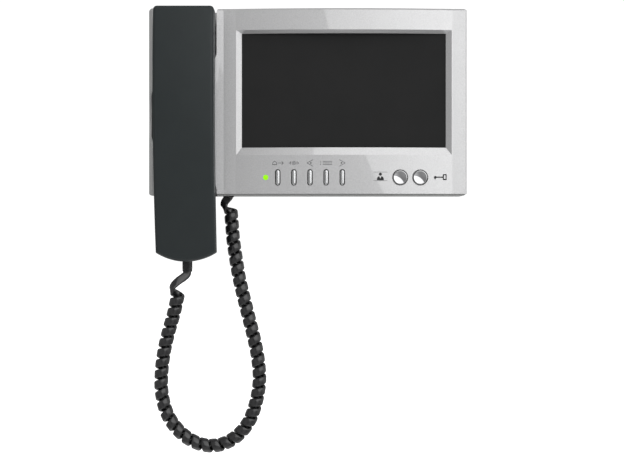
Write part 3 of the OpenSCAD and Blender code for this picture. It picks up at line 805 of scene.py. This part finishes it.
back_rings = [
    shell_ring(1.2, SPLIT + 0.02), shell_ring(0.3, SPLIT + 0.02), shell_ring(0, SPLIT + GAP)
]
back_rings += [shell_ring(i, GRIP_T - b) for i, b in rounded(3.5)]
back = inner_piece("handset_rear", *shell(back_rings))
ear_cup = cup(
    [
        (44, GRIP_TOP - 4), (20, GRIP_TOP - 3), (CUP_Y, 64), (CUP_Y, EAR_LOW),
        (44, EAR_LOW + (44 - CUP_Y) * CUP_SLOPE),
    ],
    (30, GRIP_TOP - 1), 5,
)
mic_cup = cup(
    [
        (42, -46), (38, -50), (CUP_Y + 1.5, -76), (CUP_Y, -79), (CUP_Y, -110), (19, -116),
        (25, -117),
    ],
    (-116.6, -40), 9,
)
combine("UNION", back, ear_cup, mic_cup)
HOLE_R, HOLE_DEEP = 1.0, 1.8
sound_holes = [(0, EAR_Z)]
for count, r in ((6, 4), (12, 8)):  # two rings of holes round the middle one
    sound_holes += [
        (r * math.cos(2 * math.pi * i / count), EAR_Z + r * math.sin(2 * math.pi * i / count))
        for i in range(1, count + 1)
    ]
mic_slot = [(GRIP_X + z, MIC_Z - x) for x, z in slot_outline((0, 0), 1.4, 8.0)]
screw_hole = circle((GRIP_X, SCREW_Z), 2.9, 32)
cuts = [(circle((GRIP_X + x, z), HOLE_R, 16), HOLE_DEEP) for x, z in sound_holes]
cuts += [(mic_slot, HOLE_DEEP), (screw_hole, 3)]
cutters = [
    inner_piece("hole", *prism_y(outline, (CUP_Y - 1, CUP_Y + deep))) for outline, deep in cuts
]
combine("DIFFERENCE", back, *cutters)
back.data.shade_smooth()
back.data.set_sharp_from_angle(angle=math.radians(50))
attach(back, "handset")
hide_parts("handset_back")

# ---------------------------------------------------------------- cord

EXIT = (-0.0605, -0.017, -0.0714)  # metres
COIL_ROUTE = [  # metres, the middle of the coil
    (-0.059, -0.017, -0.0805), (-0.058, -0.017, -0.092), (-0.057, -0.017, -0.104),
    (-0.055, -0.017, -0.118), (-0.0525, -0.017, -0.133), (-0.049, -0.017, -0.148),
    (-0.045, -0.017, -0.164), (-0.041, -0.017, -0.180), (-0.038, -0.017, -0.196),
    (-0.037, -0.017, -0.212), (-0.0395, -0.017, -0.228), (-0.045, -0.017, -0.243),
    (-0.054, -0.017, -0.254), (-0.066, -0.0175, -0.2605), (-0.079, -0.018, -0.261),
    (-0.091, -0.0185, -0.256), (-0.101, -0.019, -0.247), (-0.108, -0.020, -0.235),
    (-0.1115, -0.020, -0.220), (-0.1115, -0.0205, -0.205), (-0.1095, -0.021, -0.189),
    (-0.106, -0.0215, -0.174), (-0.102, -0.022, -0.160), (-0.0985, -0.0228, -0.1445),
]
BASE_TAIL = [  # metres, from the housing to the coil
    EXIT, (-0.0620, -0.0182, -0.0732), (-0.0633, -0.0198, -0.0752), (-0.0638, -0.0207, -0.0773),
    (-0.0637, -0.0198, -0.0792),
]
HANDSET_TAIL = [  # metres, from the coil into the handset's sleeve
    (-0.1031, -0.0252, -0.1433), (-0.1031, -0.0267, -0.1412), (-0.1018, -0.0268, -0.1386),
    (-0.0985, -0.0256, -0.1354), (-0.0944, -0.0240, -0.1324), (-0.0922, -0.0232, -0.1303),
    (-0.0916, -0.0230, -0.1278),
]


def smooth_line(points, per_span=8):
    """A Catmull-Rom line through the points."""
    p = [Vector(q) for q in points]
    p = [2 * p[0] - p[1], *p, 2 * p[-1] - p[-2]]
    line = []
    for i in range(1, len(p) - 2):
        a, b, c, d = p[i - 1 : i + 3]
        for k in range(per_span):
            t = k / per_span
            square, cube = 2 * a - 5 * b + 4 * c - d, 3 * b - a - 3 * c + d
            line.append(0.5 * (2 * b + (c - a) * t + square * t**2 + cube * t**3))
    return line + [p[-2]]


def line_length(line):
    return sum((b - a).length for a, b in zip(line, line[1:]))


def along_line(line, steps):
    """That many even steps along a line."""
    total = line_length(line)
    out, done, i = [line[0]], 0.0, 0
    for k in range(1, steps):
        want = total * k / steps
        while i < len(line) - 2 and done + (line[i + 1] - line[i]).length < want:
            done += (line[i + 1] - line[i]).length
            i += 1
        span = (line[i + 1] - line[i]).length
        out.append(line[i].lerp(line[i + 1], (want - done) / span))
    return out + [line[-1]]


CORD_W, CORD_T = 0.0063, 0.0024  # metres
COIL_R = 0.0053 - CORD_T / 2  # metres, to the middle of the flat cord
COIL_TURNS = 42.5
PER_TURN = 28  # points of the path on each turn
BASE_STEPS, END_STEPS = 16, 24  # steps along the two tails


def heading(line, i):
    """The direction of a line at its point i."""
    return (line[min(i + 1, len(line) - 1)] - line[max(i - 1, 0)]).normalized()


middle_line = along_line(smooth_line(COIL_ROUTE), round(COIL_TURNS * PER_TURN))
centres, outs = [], []
for i, point in enumerate(middle_line):
    ahead = heading(middle_line, i)
    side = ahead.cross(Vector((0, 1, 0))).normalized()
    up = side.cross(ahead)
    angle = math.pi + 2 * math.pi * i / PER_TURN
    out = side * math.cos(angle) - up * math.sin(angle)
    centres.append(point + out * COIL_R)
    outs.append(out)


def band_ring(centre, out, ahead):
    """The flat cord's section: a rectangle with round ends, square to its run."""
    wide = ahead.cross(out).normalized()
    thin = wide.cross(ahead).normalized()
    half = CORD_W / 2 - CORD_T / 2
    ring = []
    for sign, start in ((1, -90), (-1, 90)):
        for k in range(5):
            a = math.radians(start + 45 * k)
            across = sign * half + CORD_T / 2 * math.cos(a)
            ring.append(centre + wide * across + thin * CORD_T / 2 * math.sin(a))
    return ring


base_line = along_line(smooth_line(BASE_TAIL + [tuple(centres[0])]), BASE_STEPS)[:-1]
end_line = along_line(smooth_line([tuple(centres[-1])] + HANDSET_TAIL), END_STEPS)[1:]
flat_out = Vector((0, -1, 0))  # the tails' flat side faces front where they enter
base_outs = [
    flat_out.lerp(outs[0], (i / len(base_line)) ** 2).normalized() for i in range(len(base_line))
]
end_outs = [
    flat_out.lerp(outs[-1], (1 - (i + 1) / len(end_line)) ** 2).normalized()
    for i in range(len(end_line))
]
path = base_line + centres + end_line
hidden = Vector((-0.0594, -0.017, -0.0690))  # metres, inside the housing above the way out
rings = []
run = [hidden, *path]
run_outs = [flat_out, *base_outs, *outs, *end_outs]
for i, (centre, out) in enumerate(zip(run, run_outs)):
    rings.append([p / MM for p in band_ring(centre, out, heading(run, i))])
cord = new_piece("curly_cord", *loft(rings), None, "cord", "cord_black", sharp=60)
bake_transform(cord)
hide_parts("cord_coil", "cord_base_tail", "cord_handset_tail")

# Ribbed sleeve at the handset's end
grommet_low, grommet_high = mm_box("handset_grommet")
gx, gy = (grommet_low.x + grommet_high.x) / 2, (grommet_low.y + grommet_high.y) / 2


def sleeve_ring(half_x, half_y, z, steps=4):
    r = min(half_x, half_y) * 0.45
    ring = []
    for sx, sy, start in ((1, 1, 0), (-1, 1, 90), (-1, -1, 180), (1, -1, 270)):
        ring += [
            (gx + x, gy + y, z)
            for x, y in arc((sx * (half_x - r), sy * (half_y - r)), r, start, start + 90, steps)
        ]
    return ring


RIB_PITCH, RIBS = 1.55, 5
RIB_X, RIB_Y, NECK = 3.3, 2.7, -0.55  # half sizes over the ribs, and how much less between them
RIB = [(0.0, -0.25), (0.2, 0), (0.85, 0), (1.05, -0.25), (1.1, NECK), (1.5, NECK)]
sleeve = []
for i in range(RIBS):
    z = grommet_low.z + i * RIB_PITCH
    sleeve += [sleeve_ring(RIB_X + grow, RIB_Y + grow, z + dz) for dz, grow in RIB]
for z in (grommet_low.z + RIBS * RIB_PITCH, grommet_high.z - 1):
    sleeve.append(sleeve_ring(RIB_X + NECK, RIB_Y + NECK, z))
grommet = new_piece("handset_sleeve", *loft(sleeve), "handset", "cord", "cord_black", sharp=40)
# Two smooth rails beside the ribs
RAIL = [(0.0, 0.3), (0.15, 0.5), (8.5, 0.5), (8.7, 0.3)]  # height and radius
for side in (-1, 1):
    rail_rings = [
        [(x, y, grommet_low.z + dz) for x, y in circle((gx + side * RIB_X, gy), r, 12)]
        for dz, r in RAIL
    ]
    new_piece(
        "handset_sleeve_rail", *loft(rail_rings), "handset", "cord", "cord_black", sharp=50
    )
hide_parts("handset_grommet")

# ---------------------------------------------------------------- printed marks

PRINT = 0.03  # how far the ink stands off the surface


def printed(name, outlines, finish="ink"):
    """Flat marks on the bowed face, each a convex outline in X and Z."""
    points, faces = [], []
    for outline in outlines:
        start = len(points)
        points += [(x, -(face_at(x) + PRINT), z) for x, z in outline]
        faces.append(tuple(range(start, start + len(outline))))
    piece = new_piece(name, points, faces, "monitor", finish, None)
    return piece


def bar(x, z):
    """A straight bar, cut into short lengths so that it follows the bow."""
    steps = max(1, round((x[1] - x[0]) / 2))
    xs = [x[0] + (x[1] - x[0]) * i / steps for i in range(steps + 1)]
    return [[(a, z[0]), (b, z[0]), (b, z[1]), (a, z[1])] for a, b in zip(xs, xs[1:])]


def stroke(a, b, w):
    """A straight stroke of width w."""
    d = Vector((b[0] - a[0], b[1] - a[1])).normalized() * w / 2
    n = (-d.y, d.x)
    return [
        (a[0] + n[0], a[1] + n[1]), (a[0] - n[0], a[1] - n[1]),
        (b[0] - n[0], b[1] - n[1]), (b[0] + n[0], b[1] + n[1]),
    ]


def ring_marks(centre, r_out, r_in, steps=16):
    outer, inner = circle(centre, r_out, steps), circle(centre, r_in, steps)
    return [
        [outer[i], outer[(i + 1) % steps], inner[(i + 1) % steps], inner[i]]
        for i in range(steps)
    ]


INK = 0.4  # stroke width of the small marks


def outline_marks(corners, w, closed=True):
    """Strokes from corner to corner, with a dot at each so that they join."""
    ends = corners[1:] + corners[:1] if closed else corners[1:]
    return [stroke(a, b, w) for a, b in zip(corners, ends)] + [
        circle(p, w / 2, 8) for p in corners
    ]


px, pz = 54.6, -56.4  # middle of the person
person = [circle((px, pz + 1.75), 1.15, 20)]
SHOULDER = [(0.0, -2.75), (2.6, -2.75), (2.5, -1.1), (1.9, -0.2), (0.85, 0.3), (0.0, -1.5)]
for side in (-1, 1):  # shoulders, with an open collar between them
    person.append([(px + side * x, pz + z) for x, z in SHOULDER])
printed("mark_person", person)
line_x = (49.4, 59.8)
printed(
    "mark_lines", bar(line_x, (-53.2, -52.9)) + bar(line_x, (-59.6, -59.3)), "pale_ink"
)
kx, kz = 95.2, -56.8  # left end of the key
KEY_STROKE, BOW_STROKE = 0.95, 0.8
key_mark = [
    stroke((kx + 0.6, kz), (kx + 6.8, kz), KEY_STROKE),
    circle((kx + 0.75, kz - 0.1), 1.0, 16),
    stroke((kx + 0.75, kz), (kx + 0.75, kz - 1.6), KEY_STROKE),
]
key_mark += outline_marks(
    [(kx + 6.9, kz - 1.7), (kx + 9.0, kz - 1.7), (kx + 9.0, kz + 1.9), (kx + 6.9, kz + 1.9)],
    BOW_STROKE,
)
printed("mark_key", key_mark)

LABEL_Z = -46.2  # middle of the row of marks over the slim keys
xs = [middle(k).x for k in SLIM_KEYS]
# Leaving home: a house, and an arrow away from it
hx0 = xs[0] - 2.4
house = outline_marks(
    [
        (hx0 - 1.5, LABEL_Z - 1.3), (hx0 + 1.5, LABEL_Z - 1.3), (hx0 + 1.5, LABEL_Z + 0.1),
        (hx0, LABEL_Z + 1.5), (hx0 - 1.5, LABEL_Z + 0.1),
    ],
    INK,
)
arrow = xs[0] + 4.2
house += outline_marks([(xs[0], LABEL_Z), (arrow, LABEL_Z)], INK, False)
house += outline_marks(
    [(arrow - 1.2, LABEL_Z + 1.2), (arrow, LABEL_Z), (arrow - 1.2, LABEL_Z - 1.2)], INK, False
)
# Recording: a ring round a dot, and a level bar at each side
record = ring_marks((xs[1], LABEL_Z), 1.5, 1.12) + [circle((xs[1], LABEL_Z), 0.62, 14)]
for side in (-1, 1):
    for far, half in ((2.4, 1.0), (3.4, 0.5)):
        x = xs[1] + side * far
        record += outline_marks([(x, LABEL_Z - half), (x, LABEL_Z + half)], INK, False)


def chevron(x, point):
    """An arrowhead that points left (-1) or right (1), with a dot at its open side."""
    tip = x + point * 2.2
    return outline_marks(
        [(tip - point * 4.3, LABEL_Z + 2.4), (tip, LABEL_Z), (tip - point * 4.3, LABEL_Z - 2.4)],
        INK, False,
    ) + [circle((tip - point * 2.8, LABEL_Z), 0.6, 12)]


# The list: three lines with a dot before each
menu = []
for dz in (-1.2, 0, 1.2):
    menu += outline_marks([(xs[3] - 2.4, LABEL_Z + dz), (xs[3] + 4.4, LABEL_Z + dz)], INK, False)
    menu.append(circle((xs[3] - 4.2, LABEL_Z + dz), INK * 0.75, 8))
printed("mark_labels", house + record + chevron(xs[2], -1) + menu + chevron(xs[4], 1), "pale_ink")

# ---------------------------------------------------------------- carried-over CAD nodes

for node, finish in NODE_FINISH.items():
    obj = NODES[node]
    obj.data.materials.clear()
    obj.data.materials.append(MATERIALS[finish])

for node, width in {"front_housing": 0.5, "rear_housing": 0.6, "wall_bracket": 0.25}.items():
    even_normals(soften(NODES[node], width, 2, 30))

# ---------------------------------------------------------------- stage and light


def stage_disc(name, r, z, material):
    mesh = bpy.data.meshes.new(name)
    mesh.from_pydata([(x, y, z) for x, y in circle((0, 0), r, 96)], [], [tuple(range(96))])
    mesh.materials.append(material)
    obj = bpy.data.objects.new(name, mesh)
    bpy.context.collection.objects.link(obj)
    return obj


floor = Finish("floor_paint").set(Roughness=0.9, Specular_IOR_Level=0.1, Emission_Strength=0.7)
floor.set(Emission_Color=(1.0, 1.0, 1.0))
pale = (0.3, (0.9, 0.9, 0.9)), (0.7, (0.93, 0.93, 0.93))
floor.drive("Base Color", floor.colours(floor.noise(2), *pale))
FLOOR_R, BACKDROP_R = 9.0, 10.0  # metres
FLOOR_DROP = 0.12  # metres from the CAD model's lowest point down to the floor
ground = stage_disc("floor", FLOOR_R, cad_box[0][2] - FLOOR_DROP, floor.material)

backdrop_material = bpy.data.materials.new("backdrop_paint")
backdrop_material.use_nodes = True
paint = backdrop_material.node_tree.nodes["Principled BSDF"]
paint.inputs["Base Color"].default_value = (0, 0, 0, 1)
paint.inputs["Emission Color"].default_value = (1, 1, 1, 1)
paint.inputs["Emission Strength"].default_value = 1.05
b = bmesh.new()
bmesh.ops.create_uvsphere(b, u_segments=48, v_segments=24, radius=BACKDROP_R)
mesh = bpy.data.meshes.new("backdrop")
b.to_mesh(mesh)
b.free()
mesh.materials.append(backdrop_material)
backdrop = bpy.data.objects.new("backdrop", mesh)
bpy.context.collection.objects.link(backdrop)
for kind in ("diffuse", "glossy", "transmission", "volume_scatter", "shadow"):
    setattr(backdrop, "visible_" + kind, False)
ground.visible_glossy = False
ground.visible_diffuse = False

world = bpy.data.worlds.new("studio")
bpy.context.scene.world = world
world.use_nodes = True
tree = world.node_tree
background = tree.nodes["Background"]
direction = tree.nodes.new("ShaderNodeTexCoord").outputs["Generated"]
split = tree.nodes.new("ShaderNodeSeparateXYZ")
tree.links.new(direction, split.inputs[0])


def calc(operation, a, b=0.0):
    node = tree.nodes.new("ShaderNodeMath")
    node.operation = operation
    for socket, value in zip(node.inputs, (a, b)):
        if isinstance(value, bpy.types.NodeSocket):
            tree.links.new(value, socket)
        else:
            socket.default_value = value
    return node.outputs[0]


def ease(value, low, high):
    node = tree.nodes.new("ShaderNodeMapRange")
    node.interpolation_type = "SMOOTHSTEP"
    tree.links.new(value, node.inputs["Value"])
    node.inputs["From Min"].default_value = low
    node.inputs["From Max"].default_value = high
    return node.outputs["Result"]


dx, dy, dz = split.outputs
forward = calc("MULTIPLY", dy, -1.0)
ahead = calc("MAXIMUM", forward, 0.02)
u, w = calc("DIVIDE", dx, ahead), calc("DIVIDE", dz, ahead)
# The big soft panel in front, up and to the right: a crisp corner with a round edge
PANEL = {"left": -0.081, "bottom": -0.0145, "corner": 0.38, "right": 3.2, "top": 5.0}
round_r = PANEL["corner"]
past_left = calc("MAXIMUM", calc("SUBTRACT", round_r + PANEL["left"], u), 0.0)
past_bottom = calc("MAXIMUM", calc("SUBTRACT", round_r + PANEL["bottom"], w), 0.0)
squares = calc(
    "ADD", calc("MULTIPLY", past_left, past_left), calc("MULTIPLY", past_bottom, past_bottom)
)
EDGE = 0.0008  # half the width of the panel's soft edge
panel = ease(calc("SUBTRACT", round_r, calc("SQRT", squares)), -EDGE, EDGE)
panel = calc("MULTIPLY", panel, ease(calc("SUBTRACT", PANEL["right"], u), 0.0, 0.4))
panel = calc("MULTIPLY", panel, ease(calc("SUBTRACT", PANEL["top"], w), 0.0, 0.8))
panel = calc("MULTIPLY", panel, ease(forward, 0.02, 0.1))


def lobe(toward, inner, outer):
    """A soft round patch in a direction, full inside inner degrees and gone by outer."""
    toward = Vector(toward).normalized()
    dot = calc("ADD", calc("MULTIPLY", dx, toward.x), calc("MULTIPLY", dy, toward.y))
    dot = calc("ADD", dot, calc("MULTIPLY", dz, toward.z))
    return ease(dot, math.cos(math.radians(outer)), math.cos(math.radians(inner)))


AMBIENT, PANEL_LIGHT = 0.46, 1.4
LOBES = [  # direction, degrees, strength; the last one takes light away
    ((-0.95, -0.33, 0.1), 15, 40, 0.05),
    ((-0.45, -0.89, 0.1), 8, 35, 0.14),
    ((0.0, 0.2, -1.0), 20, 50, 0.8),
    ((1.0, 0.1, 0.1), 10, 40, 0.45),
    ((0.0, -1.0, -0.45), 10, 40, 0.3),
    ((0.5, -0.85, 0.15), 5, 30, 0.4),
    ((-0.12, -1.0, -0.12), 9, 26, -0.36),
]
level = calc("ADD", calc("MULTIPLY", panel, PANEL_LIGHT), AMBIENT)
for toward, inner, outer, strength in LOBES:
    level = calc("ADD", level, calc("MULTIPLY", lobe(toward, inner, outer), strength))
tree.links.new(level, background.inputs["Strength"])
background.inputs["Color"].default_value = (1, 1, 1, 1)
